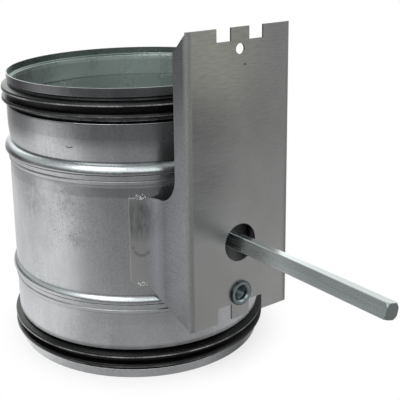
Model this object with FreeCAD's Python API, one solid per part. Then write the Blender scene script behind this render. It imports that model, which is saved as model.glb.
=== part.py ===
import FreeCAD, Part
import math
import os

# Round duct damper for 160 mm duct, millimetres.
# Z is the duct axis with the lower rim at z = 0, Y is the spindle axis and the free end
# of the spindle points to -Y. The blade is drawn at the turn seen in the photo.

# Casing: the plain body, what is swaged into it and what is rolled out of it
BODY_R = 79.5
LENGTH = 173.0
SHEET = 0.7
RIM_IN = 0.6
RIM_H = 5.0
SEAT_IN = 2.6
SEAT_SLOPE = 0.9
LOWER_SEAT_H = 12.2
UPPER_SEAT_H = 13.8
NECK_IN = 1.3
NECK_H = 9.0
NECK_ROUND = 60.0
LOWER_SPIGOT = 40.8
UPPER_SPIGOT = 42.25
LOWER_BEAD_OUT = 2.1
LOWER_BEAD_H = 5.1
UPPER_BEAD_OUT = 2.6
UPPER_BEAD_H = 6.45
BEAD_UNDER = 1.3
UNDER_ROUND = 1.0
BAND_OUT = 0.95
BAND_H = 3.4
STEP_OUT = 0.75
STEP_H = 2.7
RIB_LEAN = 0.3
GROOVE_OUT = 0.15
CREASE = 0.5
DRAW_IN = 0.25
DRAW_H = 7.0
SWAGE_ROUND = 0.5

# Duct gaskets
GASKET_T = 2.1
GASKET_H = 10.2
LOWER_GASKET_FREE = 0.2
UPPER_GASKET_FREE = 0.9
LIP_OUT = 2.9
LIP_T = 0.9
LIP_SHOULDER = 0.9
LIP_BEVEL = 0.45
LIP_DROP = 3.1
LIP_PITCH = 6.2

# Spindle
SPINDLE_SIDE = 8.0
SPINDLE_CORNER = 0.5
SPINDLE_PROUD = 103.7
TIP_EDGE = 0.3
TIP_H = 1.6
REST_TURN = 14.8

# Bearings, from the square outwards
SLIDE_FIT = 0.05
RUN_FIT = 0.05
SEAT_GAP = 0.3
ROTOR_WALL = 2.3
ROTOR_FLANGE = 3.0
ROTOR_FLANGE_T = 1.3
ORING_SECTION_R = 0.67
BUSH_WALL = 2.0
BUSH_FLANGE = 2.5
BUSH_EDGE = 0.8
BUSH_IN = 3.0
BUSH_OUT = 3.4
CAP_T = 1.6
RING_W = 2.6
RING_T = 0.6
RING_SLOTS = 6
RING_SLOT_W = 1.0
RING_SLOT_H = 1.2

# Blade
SEAL_CLEAR = 0.4
SEAL_T = 2.0
SEAL_ROUND = 0.6
SEAL_PROUD = 4.4
SEAL_GRIP = 12.0
BLADE_T = 0.8
CHANNEL_SIDE = 1.2
CHANNEL_SLOPE = 3.4
RIVET_EDGE = 6.0
RIVET_R = 1.6
RIVET_HEAD_R = 3.2
RIVET_HEAD_H = 1.0
RIVET_ANGLES = (0, 55, 125, 180, 235, 305)
SCREW_IN = 38.0
SCREW_R = 2.45
SCREW_HEAD_R = 4.6
SCREW_HEAD_H = 2.7
SCREW_BEYOND = 1.5
SOCKET_ACROSS = 3.0
SOCKET_DEEP = 1.6
NUT_ACROSS = 8.0
NUT_H = 4.6
NUT_CHAMFER = 0.6
HOLE_FIT = 0.05

# Actuator bracket: a folded plate in front of the casing, two flanges and two feet
PLATE_T = 1.0
STANDOFF = 25.8
PLATE_W = 70.0
PLATE_UP = 119.0
PLATE_DOWN = 44.5
FOLD_R = 1.5
FLANGE_DEPTH = 12.0
FLANGE_STEP = 1.0
FLANGE_ARC = 16.0
FLANGE_OVER_BEAD = 1.8
KNEE_ROUND = 6.0
FOOT_BELOW_BEAD = 7.2
FOOT_ABOVE_BEAD = 6.0
FOOT_W = 9.1
FOOT_BEND = 9.0
FOOT_CORNER = 3.2
NOTCH_PITCH = 22.0
NOTCH_W = 9.6
NOTCH_TOP = 7.0
NOTCH_BOTTOM = 9.0
SHAFT_HOLE_R = 10.8
PIN_HOLE_R = 2.9
PIN_HOLE_UP = 107.5

# Rivet nut in the plate, below the spindle
INSERT_DOWN = 30.0
INSERT_BORE_R = 4.0
INSERT_MOUTH = 1.0
INSERT_WALL = 1.5
INSERT_HEAD = 1.6
INSERT_HEAD_T = 1.5
INSERT_BULGE = 1.4
INSERT_BULGE_T = 2.2
INSERT_BEHIND = 12.0

# Worked out from the above
WALL_R = BODY_R - SHEET
RIM_R = BODY_R - RIM_IN
SEAT_R = BODY_R - SEAT_IN
LOWER_BEAD_Z = LOWER_SPIGOT
LOWER_BEAD_TOP = LOWER_BEAD_Z + STEP_H + BAND_H + LOWER_BEAD_H
UPPER_BEAD_TOP = LENGTH - UPPER_SPIGOT
UPPER_BEAD_Z = UPPER_BEAD_TOP - STEP_H - BAND_H - UPPER_BEAD_H
LOWER_GASKET_TOP = RIM_H + LOWER_SEAT_H - LOWER_GASKET_FREE
UPPER_GASKET_TOP = LENGTH - RIM_H - SEAT_SLOPE - UPPER_GASKET_FREE
SPINDLE_Z = LENGTH / 2
HALF_SQUARE = SPINDLE_SIDE / 2
ROTOR_R = HALF_SQUARE * math.sqrt(2) + ROTOR_WALL
BUSH_BORE_R = ROTOR_R + RUN_FIT
BUSH_R = BUSH_BORE_R + BUSH_WALL
BUSH_FLANGE_R = BUSH_R + BUSH_FLANGE
BUSH_IN_Y = BODY_R - BUSH_IN
BUSH_OUT_Y = BODY_R + BUSH_OUT
RING_R = BUSH_R + RING_W
RING_Y = math.sqrt(WALL_R ** 2 - RING_R ** 2) - RING_T
ROTOR_FLANGE_Y = BUSH_IN_Y - SEAT_GAP - ROTOR_FLANGE_T
ROTOR_END_Y = BUSH_OUT_Y - SEAT_GAP
ORING_Y = (BUSH_IN_Y + BUSH_OUT_Y) / 2
SEAL_R = WALL_R - SEAL_CLEAR
BLADE_R = SEAL_R - SEAL_PROUD
SEAL_IN_R = BLADE_R - SEAL_GRIP
RIVET_PITCH_R = BLADE_R - RIVET_EDGE
SCREW_Y = BLADE_R - SCREW_IN
HALF_SEAL = SEAL_T / 2
PLATE_Y = BODY_R + STANDOFF
PLATE_TOP = SPINDLE_Z + PLATE_UP
PLATE_BOTTOM = SPINDLE_Z - PLATE_DOWN
FOOT_TOP_Z = UPPER_BEAD_Z - FOOT_BELOW_BEAD
FOOT_BOTTOM_Z = LOWER_BEAD_TOP + FOOT_ABOVE_BEAD
SPINDLE_FREE_Y = -PLATE_Y - SPINDLE_PROUD
SPINDLE_FAR_Y = BUSH_OUT_Y - 3 * SEAT_GAP
INSERT_R = INSERT_BORE_R + INSERT_WALL

V = FreeCAD.Vector
X_AXIS, Y_AXIS, Z_AXIS = V(1, 0, 0), V(0, 1, 0), V(0, 0, 1)


def rounded_face(points, place):
    """Face from (u, v, bend radius) corners; place(u, v) gives the 3D point."""
    count = len(points)
    wants, turns, sides = [], [], []
    for i, (u, v, bend) in enumerate(points):
        pu, pv = points[i - 1][:2]
        nu, nv = points[(i + 1) % count][:2]
        a = math.atan2(pv - v, pu - u)
        b = math.atan2(nv - v, nu - u)
        half = abs(math.remainder(a - b, 2 * math.pi)) / 2
        turns.append((a, b, half))
        wants.append(bend / math.tan(half) if bend else 0.0)
        sides.append(math.hypot(nu - u, nv - v))
    starts, ends, middles = [], [], []
    for i, (u, v, bend) in enumerate(points):
        a, b, half = turns[i]
        reach = wants[i]
        # bends at both ends of a side that is too short share it as they ask for it
        for side, other in ((sides[i - 1], wants[i - 1]), (sides[i], wants[(i + 1) % count])):
            if bend:
                reach = min(reach, 0.98 * side * wants[i] / (wants[i] + other))
        starts.append((u + reach * math.cos(a), v + reach * math.sin(a)))
        ends.append((u + reach * math.cos(b), v + reach * math.sin(b)))
        if bend:
            radius = reach * math.tan(half)
            mid_u, mid_v = math.cos(a) + math.cos(b), math.sin(a) + math.sin(b)
            size = math.hypot(mid_u, mid_v)
            far = radius / math.sin(half) - radius
            middles.append((u + far * mid_u / size, v + far * mid_v / size))
        else:
            middles.append(None)
    edges = []
    for i in range(count):
        if middles[i]:
            arc = Part.Arc(place(*starts[i]), place(*middles[i]), place(*ends[i]))
            edges.append(arc.toShape())
        here, there = place(*ends[i]), place(*starts[(i + 1) % count])
        if here.distanceToPoint(there) > 1e-6:
            edges.append(Part.makeLine(here, there))
    return Part.Face(Part.Wire(edges))


def ring_about_z(points):
    """Solid of revolution about Z from (radius, z, bend) corners."""
    return rounded_face(points, lambda r, z: V(r, 0, z)).revolve(V(), Z_AXIS, 360)


def ring_about_y(points):
    """Solid of revolution about Y from (radius, y, bend) corners."""
    return rounded_face(points, lambda r, y: V(r, y, 0)).revolve(V(), Y_AXIS, 360)


def along_y(radius, y0, y1, x=0.0, z=0.0):
    return Part.makeCylinder(radius, y1 - y0, V(x, y0, z), Y_AXIS)


def along_z(radius, z0, z1, x=0.0, y=0.0):
    return Part.makeCylinder(radius, z1 - z0, V(x, y, z0), Z_AXIS)


def box(x0, x1, y0, y1, z0, z1):
    return Part.makeBox(x1 - x0, y1 - y0, z1 - z0, V(x0, y0, z0))


def hexagon(across, z):
    reach = across / math.sqrt(3)
    turns = [k * math.pi / 3 for k in range(7)]
    return Part.Face(Part.makePolygon(
        [V(reach * math.cos(turn), reach * math.sin(turn), z) for turn in turns]))


def mirrored_y(shape):
    return shape.mirror(V(), Y_AXIS)


def on_spindle(shape):
    """Bring a shape drawn round the origin to the spindle axis, not turned."""
    moved = shape.copy()
    moved.translate(V(0, 0, SPINDLE_Z))
    return moved


def on_blade(shape):
    """Bring a shape drawn with the blade flat to the blade's place in the photo."""
    moved = shape.copy()
    moved.rotate(V(), Y_AXIS, REST_TURN)
    return on_spindle(moved)


# Casing and gaskets

def flank_corner(widest, crown, out, rise):
    """Corner whose bend is one arc, from the crown at its widest place to the wall above."""
    square = rise * rise + out * out
    return (crown, widest + square / (2 * rise), square / (2 * out))


def bead_outside(z, bead_out, bead_h, neck):
    """Outer corners of one bead, upwards: drawn in wall, thin step, band, bead and its flank."""
    band = z + STEP_H
    bead = band + BAND_H
    step, ring, groove = BODY_R + STEP_OUT, BODY_R + BAND_OUT, BODY_R + GROOVE_OUT
    crown = BODY_R + bead_out
    widest = bead + BEAD_UNDER
    return [
        (BODY_R, z - DRAW_H, 0), (BODY_R - DRAW_IN, z, 0),
        (step - RIB_LEAN, z + CREASE, 0.2), (step, band - CREASE, 0.3),
        (groove, band, 0), (ring - RIB_LEAN, band + CREASE, 0.3), (ring, bead - CREASE, 0.3),
        (groove, bead, 0), (crown, bead + CREASE, UNDER_ROUND),
        flank_corner(widest, crown, bead_out + neck, bead_h - BEAD_UNDER),
        (BODY_R - neck, bead + bead_h, 0),
    ]


def bead_inside(z, bead_out, bead_h, neck):
    """Inner corners of one bead, upwards: its hollow, one sheet behind the outside."""
    bead = z + STEP_H + BAND_H
    hollow = WALL_R + bead_out
    widest = bead + BEAD_UNDER
    out = bead_out + neck
    bend = flank_corner(widest, hollow, out, bead_h - BEAD_UNDER)[2] - SHEET
    rise = math.sqrt(out * (2 * bend - out))
    return [
        (WALL_R, z - DRAW_H, 0), (WALL_R - DRAW_IN, z, 0), (WALL_R, z + CREASE + SHEET, 0),
        (WALL_R, bead + SHEET / 2, 0.4), (hollow, bead + CREASE + SHEET, UNDER_ROUND - SHEET),
        flank_corner(widest, hollow, out, rise), (WALL_R - neck, widest + rise, 0.4),
    ]


def seat_corners(z, towards, seat_h, inwards):
    """Corners of one swaged gasket seat from its rim side, on a wall that lies inwards."""
    # one sheet inwards, the corners of each slope move along with it to keep the thickness
    rim_shift, body_shift = [
        inwards * math.tan(math.atan2(radius - SEAT_R, SEAT_SLOPE) / 2)
        for radius in (RIM_R, BODY_R)]
    seat_end = seat_h + body_shift
    return [
        (RIM_R - inwards, z - towards * rim_shift, SWAGE_ROUND),
        (SEAT_R - inwards, z + towards * (SEAT_SLOPE - rim_shift), SWAGE_ROUND),
        (SEAT_R - inwards, z + towards * seat_end, SWAGE_ROUND),
        (BODY_R - inwards, z + towards * (seat_end + SEAT_SLOPE), SWAGE_ROUND),
    ]


def make_casing():
    lower = (LOWER_BEAD_Z, LOWER_BEAD_OUT, LOWER_BEAD_H, 0.0)
    upper = (UPPER_BEAD_Z, UPPER_BEAD_OUT, UPPER_BEAD_H, NECK_IN)
    # the wall is drawn in above the upper bead and comes back out over the neck's height
    neck_end = UPPER_BEAD_TOP + NECK_H
    outside = [(RIM_R, 0, 0)] + seat_corners(RIM_H, 1, LOWER_SEAT_H, 0)
    outside += bead_outside(*lower) + bead_outside(*upper)
    outside += [(BODY_R, neck_end, NECK_ROUND)]
    outside += seat_corners(LENGTH - RIM_H, -1, UPPER_SEAT_H, 0)[::-1] + [(RIM_R, LENGTH, 0)]
    inside = [(RIM_R - SHEET, 0, 0)] + seat_corners(RIM_H, 1, LOWER_SEAT_H, SHEET)
    inside += bead_inside(*lower) + bead_inside(*upper)
    inside += [(WALL_R, neck_end, NECK_ROUND - SHEET)]
    inside += seat_corners(LENGTH - RIM_H, -1, UPPER_SEAT_H, SHEET)[::-1]
    inside += [(RIM_R - SHEET, LENGTH, 0)]
    casing = ring_about_z(outside + inside[::-1])
    return casing.cut(on_spindle(along_y(BUSH_R, -PLATE_Y, PLATE_Y)))


def make_gasket(top):
    """Double lip gasket from its upper side down; both lips trail down."""
    base, lip_r = SEAT_R + GASKET_T, BODY_R + LIP_OUT
    bottom = top - GASKET_H
    points = [(SEAT_R, top, 0), (base - 0.4, top, 0)]
    for lip in (top - 0.1, top - 0.1 - LIP_PITCH):
        points += [
            (base, lip, 0), (lip_r - LIP_BEVEL, lip - LIP_SHOULDER, 0.3),
            (lip_r, lip - LIP_DROP + LIP_T, 0.25), (lip_r - 0.1, lip - LIP_DROP, 0.25),
            (base, lip - 1.9 * LIP_T, 0.4),
        ]
    points += [(base - 0.4, bottom, 0), (SEAT_R, bottom, 0)]
    return ring_about_z(points)


# Actuator bracket

def bracket_section(side):
    """Edges of one face of the folded sheet in plan, side is +1 outside, -1 inside."""
    half = PLATE_T / 2
    flange_x = PLATE_W / 2 - half + side * half
    plate_y = -(PLATE_Y - half + side * half)
    fold = FOLD_R - half + side * half
    foot_r = BODY_R + half + side * half
    bend = FOOT_BEND - side * half
    cx = PLATE_W / 2 - half + FOOT_BEND
    reach = BODY_R + half + FOOT_BEND
    cy = -math.sqrt(reach * reach - cx * cx)
    touch = math.atan2(cx, -cy)
    end = touch + FOOT_W / BODY_R

    def on_casing(turn):
        return V(foot_r * math.sin(turn), -foot_r * math.cos(turn), 0)

    # the bend runs from the flange, half way round, to its touch on the casing
    bend_turn = (math.pi / 2 - touch) / 2
    bend_mid = V(cx - bend * math.cos(bend_turn), cy + bend * math.sin(bend_turn), 0)
    bend_start = V(cx - bend, cy, 0)
    bend_end = on_casing(touch)
    corner = V(flange_x, plate_y + fold, 0)
    corner_end = V(flange_x - fold, plate_y, 0)
    shift = fold * (1 - math.sqrt(0.5))
    corner_mid = V(flange_x - shift, plate_y + shift, 0)
    right = [
        Part.Arc(corner_end, corner_mid, corner).toShape(),
        Part.makeLine(corner, bend_start),
        Part.Arc(bend_start, bend_mid, bend_end).toShape(),
        Part.Arc(bend_end, on_casing((touch + end) / 2), on_casing(end)).toShape(),
    ]
    left = [edge.mirror(V(), X_AXIS) for edge in right]
    plate = Part.makeLine(V(-corner_end.x, plate_y, 0), corner_end)
    return left + [plate] + right, on_casing(end)


def flange_outline():
    """Side view of the bracket, (y, z, bend) corners."""
    half = PLATE_W / 2
    front = -PLATE_Y - PLATE_T
    fold = -PLATE_Y + FOLD_R
    back = -PLATE_Y + FLANGE_DEPTH
    chamfer = FLANGE_DEPTH - FOLD_R
    foot = -math.sqrt(BODY_R ** 2 - half ** 2)
    knee = -math.sqrt((BODY_R + LOWER_BEAD_OUT + FLANGE_OVER_BEAD) ** 2 - half ** 2)
    behind = foot + FOOT_W + FOOT_BEND
    return [
        (front, PLATE_BOTTOM, 0), (front, PLATE_TOP, 0), (fold, PLATE_TOP, 0),
        (fold, PLATE_TOP - FLANGE_STEP, 0), (back, PLATE_TOP - FLANGE_STEP - chamfer, 0),
        (back, FOOT_TOP_Z, FLANGE_ARC), (behind, FOOT_TOP_Z, 0),
        (behind, FOOT_BOTTOM_Z, 0), (foot, FOOT_BOTTOM_Z, KNEE_ROUND),
        (knee, LOWER_BEAD_TOP, KNEE_ROUND),
        (fold, PLATE_BOTTOM + FLANGE_STEP, 0), (fold, PLATE_BOTTOM, 0),
    ]


def foot_corner_cut(end, side):
    """Prism that takes the lower outer corner off one foot."""
    c = FOOT_CORNER
    corners = [V(end.x + side * 0.8 * c, end.y - c, FOOT_BOTTOM_Z + 2 * c),
               V(end.x - side * 1.6 * c, end.y - c, FOOT_BOTTOM_Z - c),
               V(end.x + side * 0.8 * c, end.y - c, FOOT_BOTTOM_Z - c)]
    triangle = Part.Face(Part.makePolygon(corners + corners[:1]))
    return triangle.extrude(V(0, 2 * c, 0))


def make_bracket():
    outer, outer_end = bracket_section(1)
    inner, inner_end = bracket_section(-1)
    caps = []
    for side in (1, -1):
        caps.append(Part.makeLine(V(side * outer_end.x, outer_end.y, 0),
                                  V(side * inner_end.x, inner_end.y, 0)))
    wire = Part.Wire(Part.__sortEdges__(outer + inner + caps))
    sheet = Part.Face(wire).extrude(V(0, 0, PLATE_TOP))
    wide = PLATE_W
    outline = rounded_face(flange_outline(), lambda y, z: V(-wide, y, z))
    bracket = sheet.common(outline.extrude(V(2 * wide, 0, 0)))
    front, back = -PLATE_Y - PLATE_T, -PLATE_Y + 2 * PLATE_T
    for side in (1, -1):
        x0, x1 = [side * NOTCH_PITCH / 2 + edge * NOTCH_W / 2 for edge in (-1, 1)]
        bracket = bracket.cut(box(x0, x1, front, back, PLATE_TOP - NOTCH_TOP, PLATE_TOP + 1))
        bracket = bracket.cut(box(x0, x1, front, back, PLATE_BOTTOM - 1,
                                  PLATE_BOTTOM + NOTCH_BOTTOM))
        bracket = bracket.cut(foot_corner_cut(V(side * inner_end.x, inner_end.y, 0), side))
    for radius, z in ((SHAFT_HOLE_R, SPINDLE_Z), (PIN_HOLE_R, SPINDLE_Z + PIN_HOLE_UP),
                      (INSERT_R, SPINDLE_Z - INSERT_DOWN)):
        bracket = bracket.cut(along_y(radius, front, back, 0, z))
    return bracket


def make_insert():
    """Set rivet nut in the plate, drawn about Y and moved to its height."""
    face = -PLATE_Y - INSERT_HEAD_T
    behind = -PLATE_Y + PLATE_T
    bulge = behind + INSERT_BULGE_T
    end = behind + INSERT_BEHIND
    head_r, bulge_r = INSERT_R + INSERT_HEAD, INSERT_R + INSERT_BULGE
    points = [
        (INSERT_BORE_R, end, 0), (INSERT_BORE_R, face + INSERT_MOUTH, 0),
        (INSERT_BORE_R + INSERT_MOUTH, face, 0), (head_r, face, 0.5), (head_r, -PLATE_Y, 0),
        (INSERT_R, -PLATE_Y, 0), (INSERT_R, behind, 0), (bulge_r, behind, 0.6),
        (bulge_r, bulge, 0.6), (INSERT_R, bulge, 0), (INSERT_R, end, 0.5),
    ]
    insert = ring_about_y(points)
    insert.translate(V(0, 0, SPINDLE_Z - INSERT_DOWN))
    return insert


# Bearings, drawn for the far side (+Y) and mirrored for the drive side

def make_bush(closed):
    """Housing pressed into the casing, its flange follows the casing outside."""
    top = BUSH_OUT_Y + (CAP_T if closed else 0)
    barrel = along_y(BUSH_R, BUSH_IN_Y, top)
    flange = along_y(BUSH_FLANGE_R, BUSH_IN_Y - BUSH_IN, top)
    flange = flange.cut(along_z(BODY_R, -2 * BUSH_FLANGE_R, 2 * BUSH_FLANGE_R))
    rim = [edge for edge in flange.Edges
           if abs(edge.BoundBox.YMin - top) < 1e-4 and abs(edge.BoundBox.YMax - top) < 1e-4]
    flange = flange.makeFillet(BUSH_EDGE, rim)
    bore_end = BUSH_OUT_Y if closed else top + 1
    return flange.fuse(barrel).cut(along_y(BUSH_BORE_R, BUSH_IN_Y - 1, bore_end)).removeSplitter()


def make_ring():
    """Push-on ring that holds the housing from inside the casing."""
    ring = along_y(RING_R, RING_Y, RING_Y + RING_T).cut(along_y(BUSH_R, 0, BUSH_OUT_Y))
    half = RING_SLOT_W / 2
    for turn in range(RING_SLOTS):
        slot = box(-half, half, RING_Y - 1, RING_Y + 2 * RING_T, BUSH_R - 1, BUSH_R + RING_SLOT_H)
        slot.rotate(V(), Y_AXIS, turn * 360 / RING_SLOTS)
        ring = ring.cut(slot)
    return ring


def make_rotor():
    """Square bored sleeve that turns with the spindle inside the housing."""
    flange_r = ROTOR_R + ROTOR_FLANGE
    groove_r = ROTOR_R - 2 * ORING_SECTION_R
    inner, outer = ORING_Y - ORING_SECTION_R, ORING_Y + ORING_SECTION_R
    shoulder = ROTOR_FLANGE_Y + ROTOR_FLANGE_T
    points = [
        (0, ROTOR_FLANGE_Y, 0), (flange_r, ROTOR_FLANGE_Y, 0.3),
        (flange_r, shoulder, 0.3), (ROTOR_R, shoulder, 0),
        (ROTOR_R, inner, 0), (groove_r, inner, 0), (groove_r, outer, 0), (ROTOR_R, outer, 0),
        (ROTOR_R, ROTOR_END_Y, 0.4), (0, ROTOR_END_Y, 0),
    ]
    half = HALF_SQUARE + SLIDE_FIT
    square = box(-half, half, 0, BUSH_OUT_Y, -half, half)
    return ring_about_y(points).cut(square)


def make_oring():
    """O-ring in the groove of the rotor, it slides in the housing bore."""
    return Part.makeTorus(ROTOR_R - ORING_SECTION_R, ORING_SECTION_R, V(0, ORING_Y, 0), Y_AXIS)


def make_spindle():
    bar = box(-HALF_SQUARE, HALF_SQUARE, SPINDLE_FREE_Y, SPINDLE_FAR_Y, -HALF_SQUARE, HALF_SQUARE)
    long_edges = [edge for edge in bar.Edges if edge.Length > PLATE_Y]
    bar = bar.makeFillet(SPINDLE_CORNER, long_edges)
    # the free end is chamfered by a cone that starts just outside the square's side
    tip_r = HALF_SQUARE + TIP_EDGE
    wide = HALF_SQUARE * 1.5
    rise = TIP_H * (wide - tip_r) / (HALF_SQUARE * math.sqrt(2) - tip_r)
    tip = ring_about_y([(0, SPINDLE_FREE_Y, 0), (tip_r, SPINDLE_FREE_Y, 0),
                        (wide, SPINDLE_FREE_Y + rise, 0), (wide, SPINDLE_FAR_Y, 0),
                        (0, SPINDLE_FAR_Y, 0)])
    bar = bar.common(tip)
    for y in (-SCREW_Y, SCREW_Y):
        bar = bar.cut(along_z(SCREW_R + HOLE_FIT, -SPINDLE_SIDE, SPINDLE_SIDE, 0, y))
    return bar


# Blade, drawn flat at the origin

def rivet_places():
    for angle in RIVET_ANGLES:
        turn = math.radians(angle)
        yield RIVET_PITCH_R * math.cos(turn), RIVET_PITCH_R * math.sin(turn)


def make_upper_disc():
    """Sheet disc with a pressed channel over the spindle."""
    low, high = HALF_SEAL, HALF_SQUARE
    top = HALF_SQUARE + CHANNEL_SIDE
    foot = top + CHANNEL_SLOPE
    edge = BLADE_R + 2
    slope = BLADE_T * 0.55
    points = [
        (-edge, low, 0), (-foot, low, 1.0), (-top, high, 0.5),
        (top, high, 0.5), (foot, low, 1.0), (edge, low, 0),
        (edge, low + BLADE_T, 0), (foot + slope, low + BLADE_T, 0.5),
        (top + slope, high + BLADE_T, 1.0), (-top - slope, high + BLADE_T, 1.0),
        (-foot - slope, low + BLADE_T, 0.5), (-edge, low + BLADE_T, 0),
    ]
    sheet = rounded_face(points, lambda x, z: V(x, -edge, z)).extrude(V(0, 2 * edge, 0))
    disc = sheet.common(along_z(BLADE_R, -SPINDLE_SIDE, SPINDLE_SIDE))
    for x, y in rivet_places():
        disc = disc.cut(along_z(RIVET_R + HOLE_FIT, -SPINDLE_SIDE, SPINDLE_SIDE, x, y))
    for y in (-SCREW_Y, SCREW_Y):
        disc = disc.cut(along_z(SCREW_R + HOLE_FIT, -SPINDLE_SIDE, SPINDLE_SIDE, 0, y))
    return disc


def make_seal_half():
    """One half of the blade seal on the +X side, its ends meet the spindle."""
    ring = ring_about_z([
        (SEAL_IN_R, -HALF_SEAL, 0), (SEAL_R, -HALF_SEAL, SEAL_ROUND),
        (SEAL_R, HALF_SEAL, SEAL_ROUND), (SEAL_IN_R, HALF_SEAL, 0)])
    inside = HALF_SQUARE + SEAT_GAP
    seal = ring.common(box(inside, BODY_R, -BODY_R, BODY_R, -SEAL_T, SEAL_T))
    # the ends leave room for the bearings
    notch_x = RING_R + 0.8
    notch_y = ROTOR_FLANGE_Y - SEAT_GAP
    for side in (1, -1):
        y0, y1 = sorted((side * notch_y, side * BODY_R))
        seal = seal.cut(box(0, notch_x, y0, y1, -SEAL_T, SEAL_T))
    for x, y in rivet_places():
        seal = seal.cut(along_z(RIVET_R + HOLE_FIT, -SEAL_T, SEAL_T, x, y))
    return seal


def make_rivet(x, y):
    """Solid rivet through both discs and the seal."""
    face = HALF_SEAL + BLADE_T
    head = face + RIVET_HEAD_H
    rivet = ring_about_z([
        (0, -head, 0), (RIVET_HEAD_R, -head, 0.8), (RIVET_HEAD_R, -face, 0), (RIVET_R, -face, 0),
        (RIVET_R, face, 0), (RIVET_HEAD_R, face, 0), (RIVET_HEAD_R, head, 0.8), (0, head, 0)])
    rivet.translate(V(x, y, 0))
    return rivet


def make_screw(y):
    """Round head screw with a hex socket, through channel, spindle and channel."""
    face = HALF_SQUARE + BLADE_T
    head = face + SCREW_HEAD_H
    end = -face - NUT_H - SCREW_BEYOND
    screw = ring_about_z([
        (0, end, 0), (SCREW_R, end, 0.4), (SCREW_R, face, 0), (SCREW_HEAD_R, face, 0),
        (SCREW_HEAD_R, head, 1.4), (0, head, 0)])
    screw = screw.cut(hexagon(SOCKET_ACROSS, head - SOCKET_DEEP).extrude(V(0, 0, SCREW_HEAD_H)))
    screw.translate(V(0, y, 0))
    return screw


def make_nut(y):
    face = -HALF_SQUARE - BLADE_T
    end = face - NUT_H
    reach = NUT_ACROSS / math.sqrt(3) + 0.1
    chamfer = ring_about_z([(0, face, 0), (reach, face, 0), (reach, end + NUT_CHAMFER, 0),
                            (NUT_ACROSS / 2, end, 0), (0, end, 0)])
    nut = hexagon(NUT_ACROSS, end).extrude(V(0, 0, NUT_H)).common(chamfer)
    nut = nut.cut(along_z(SCREW_R + HOLE_FIT, end - 1, face + 1))
    nut.translate(V(0, y, 0))
    return nut


def build():
    nodes = {
        "casing": make_casing(),
        "upper_gasket": make_gasket(UPPER_GASKET_TOP),
        "lower_gasket": make_gasket(LOWER_GASKET_TOP),
        "actuator_bracket": make_bracket(),
        "bracket_insert": make_insert(),
        "drive_bush": on_spindle(mirrored_y(make_bush(False))),
        "far_bush": on_spindle(make_bush(True)),
        "drive_bush_ring": on_spindle(mirrored_y(make_ring())),
        "far_bush_ring": on_spindle(make_ring()),
        "spindle": on_blade(make_spindle()),
        "drive_rotor": on_blade(mirrored_y(make_rotor())),
        "far_rotor": on_blade(make_rotor()),
        "drive_oring": on_blade(mirrored_y(make_oring())),
        "far_oring": on_blade(make_oring()),
        "blade_upper_disc": on_blade(make_upper_disc()),
        "blade_lower_disc": on_blade(make_upper_disc().mirror(V(), Z_AXIS)),
        "blade_seal_right": on_blade(make_seal_half()),
        "blade_seal_left": on_blade(make_seal_half().mirror(V(), X_AXIS)),
    }
    for number, (x, y) in enumerate(rivet_places(), 1):
        nodes["blade_rivet_%d" % number] = on_blade(make_rivet(x, y))
    for name, y in (("drive", -SCREW_Y), ("far", SCREW_Y)):
        nodes["blade_screw_" + name] = on_blade(make_screw(y))
        nodes["blade_nut_" + name] = on_blade(make_nut(y))
    return nodes


os.makedirs("parts", exist_ok=True)
for node, shape in build().items():
    solids = shape.Solids
    if len(solids) != 1 or not solids[0].isValid():
        print("check", node, len(solids), shape.isValid())
    solids[0].exportStep("parts/%s.step" % node)
print("done")
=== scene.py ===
"""A round duct damper in zinc-coated sheet steel: its finishes, weld marks, threads, light and camera."""

import math

import bmesh
import bpy
from mathutils import Matrix, Vector
from mathutils.bvhtree import BVHTree


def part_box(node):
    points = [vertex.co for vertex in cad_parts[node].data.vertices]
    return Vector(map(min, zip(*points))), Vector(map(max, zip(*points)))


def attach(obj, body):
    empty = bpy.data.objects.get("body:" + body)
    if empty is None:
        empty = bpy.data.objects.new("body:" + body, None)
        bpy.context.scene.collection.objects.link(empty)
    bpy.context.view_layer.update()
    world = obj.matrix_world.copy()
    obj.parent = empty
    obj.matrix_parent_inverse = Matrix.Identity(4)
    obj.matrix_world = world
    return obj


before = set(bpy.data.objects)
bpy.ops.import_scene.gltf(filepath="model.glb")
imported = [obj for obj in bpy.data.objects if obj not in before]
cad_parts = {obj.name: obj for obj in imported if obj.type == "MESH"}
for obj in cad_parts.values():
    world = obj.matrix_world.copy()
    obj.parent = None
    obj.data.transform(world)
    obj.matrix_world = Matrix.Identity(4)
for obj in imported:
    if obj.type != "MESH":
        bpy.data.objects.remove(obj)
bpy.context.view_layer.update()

MM = 0.001

# Sizes that the finishes and small pieces share with the frame.
BODY_R = 79.5 * MM
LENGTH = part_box("casing")[1].z
SHAFT_Z = LENGTH / 2
PLATE_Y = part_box("actuator_bracket")[0].y
PLATE_HALF = 35 * MM
SPINDLE_END_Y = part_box("spindle")[0].y
# Past the part on any side.
BEYOND = 1.0

# The tube's seam, out of the picture, as a turn round the duct from the plate's side, and where the
# unrolled patterns start from it.
SEAM_TURN = math.radians(105)
ARC_START = math.radians(-47) * BODY_R
SEAM_HALF = 0.75 * MM
# The shaded side of the tube and of its gaskets, where the lower rim gets painted shade, on the unrolled
# tube: from, to and soft edge.
DARK_SIDE = [math.radians(a) * BODY_R for a in (50, 135, 30)]

# Heights on the tube in millimetres: the lower rim's top edge, the throat's, both edges of the slope
# inside the gasket's seat, and where the rim band starts outside and inside.
LOW_RIM_TO, THROAT_TO, SLOPE_FROM, SLOPE_TO, RIM_FROM, MOUTH_FROM = 6.4, 149, 164.9, 166.9, 167.4, 167.6
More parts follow.
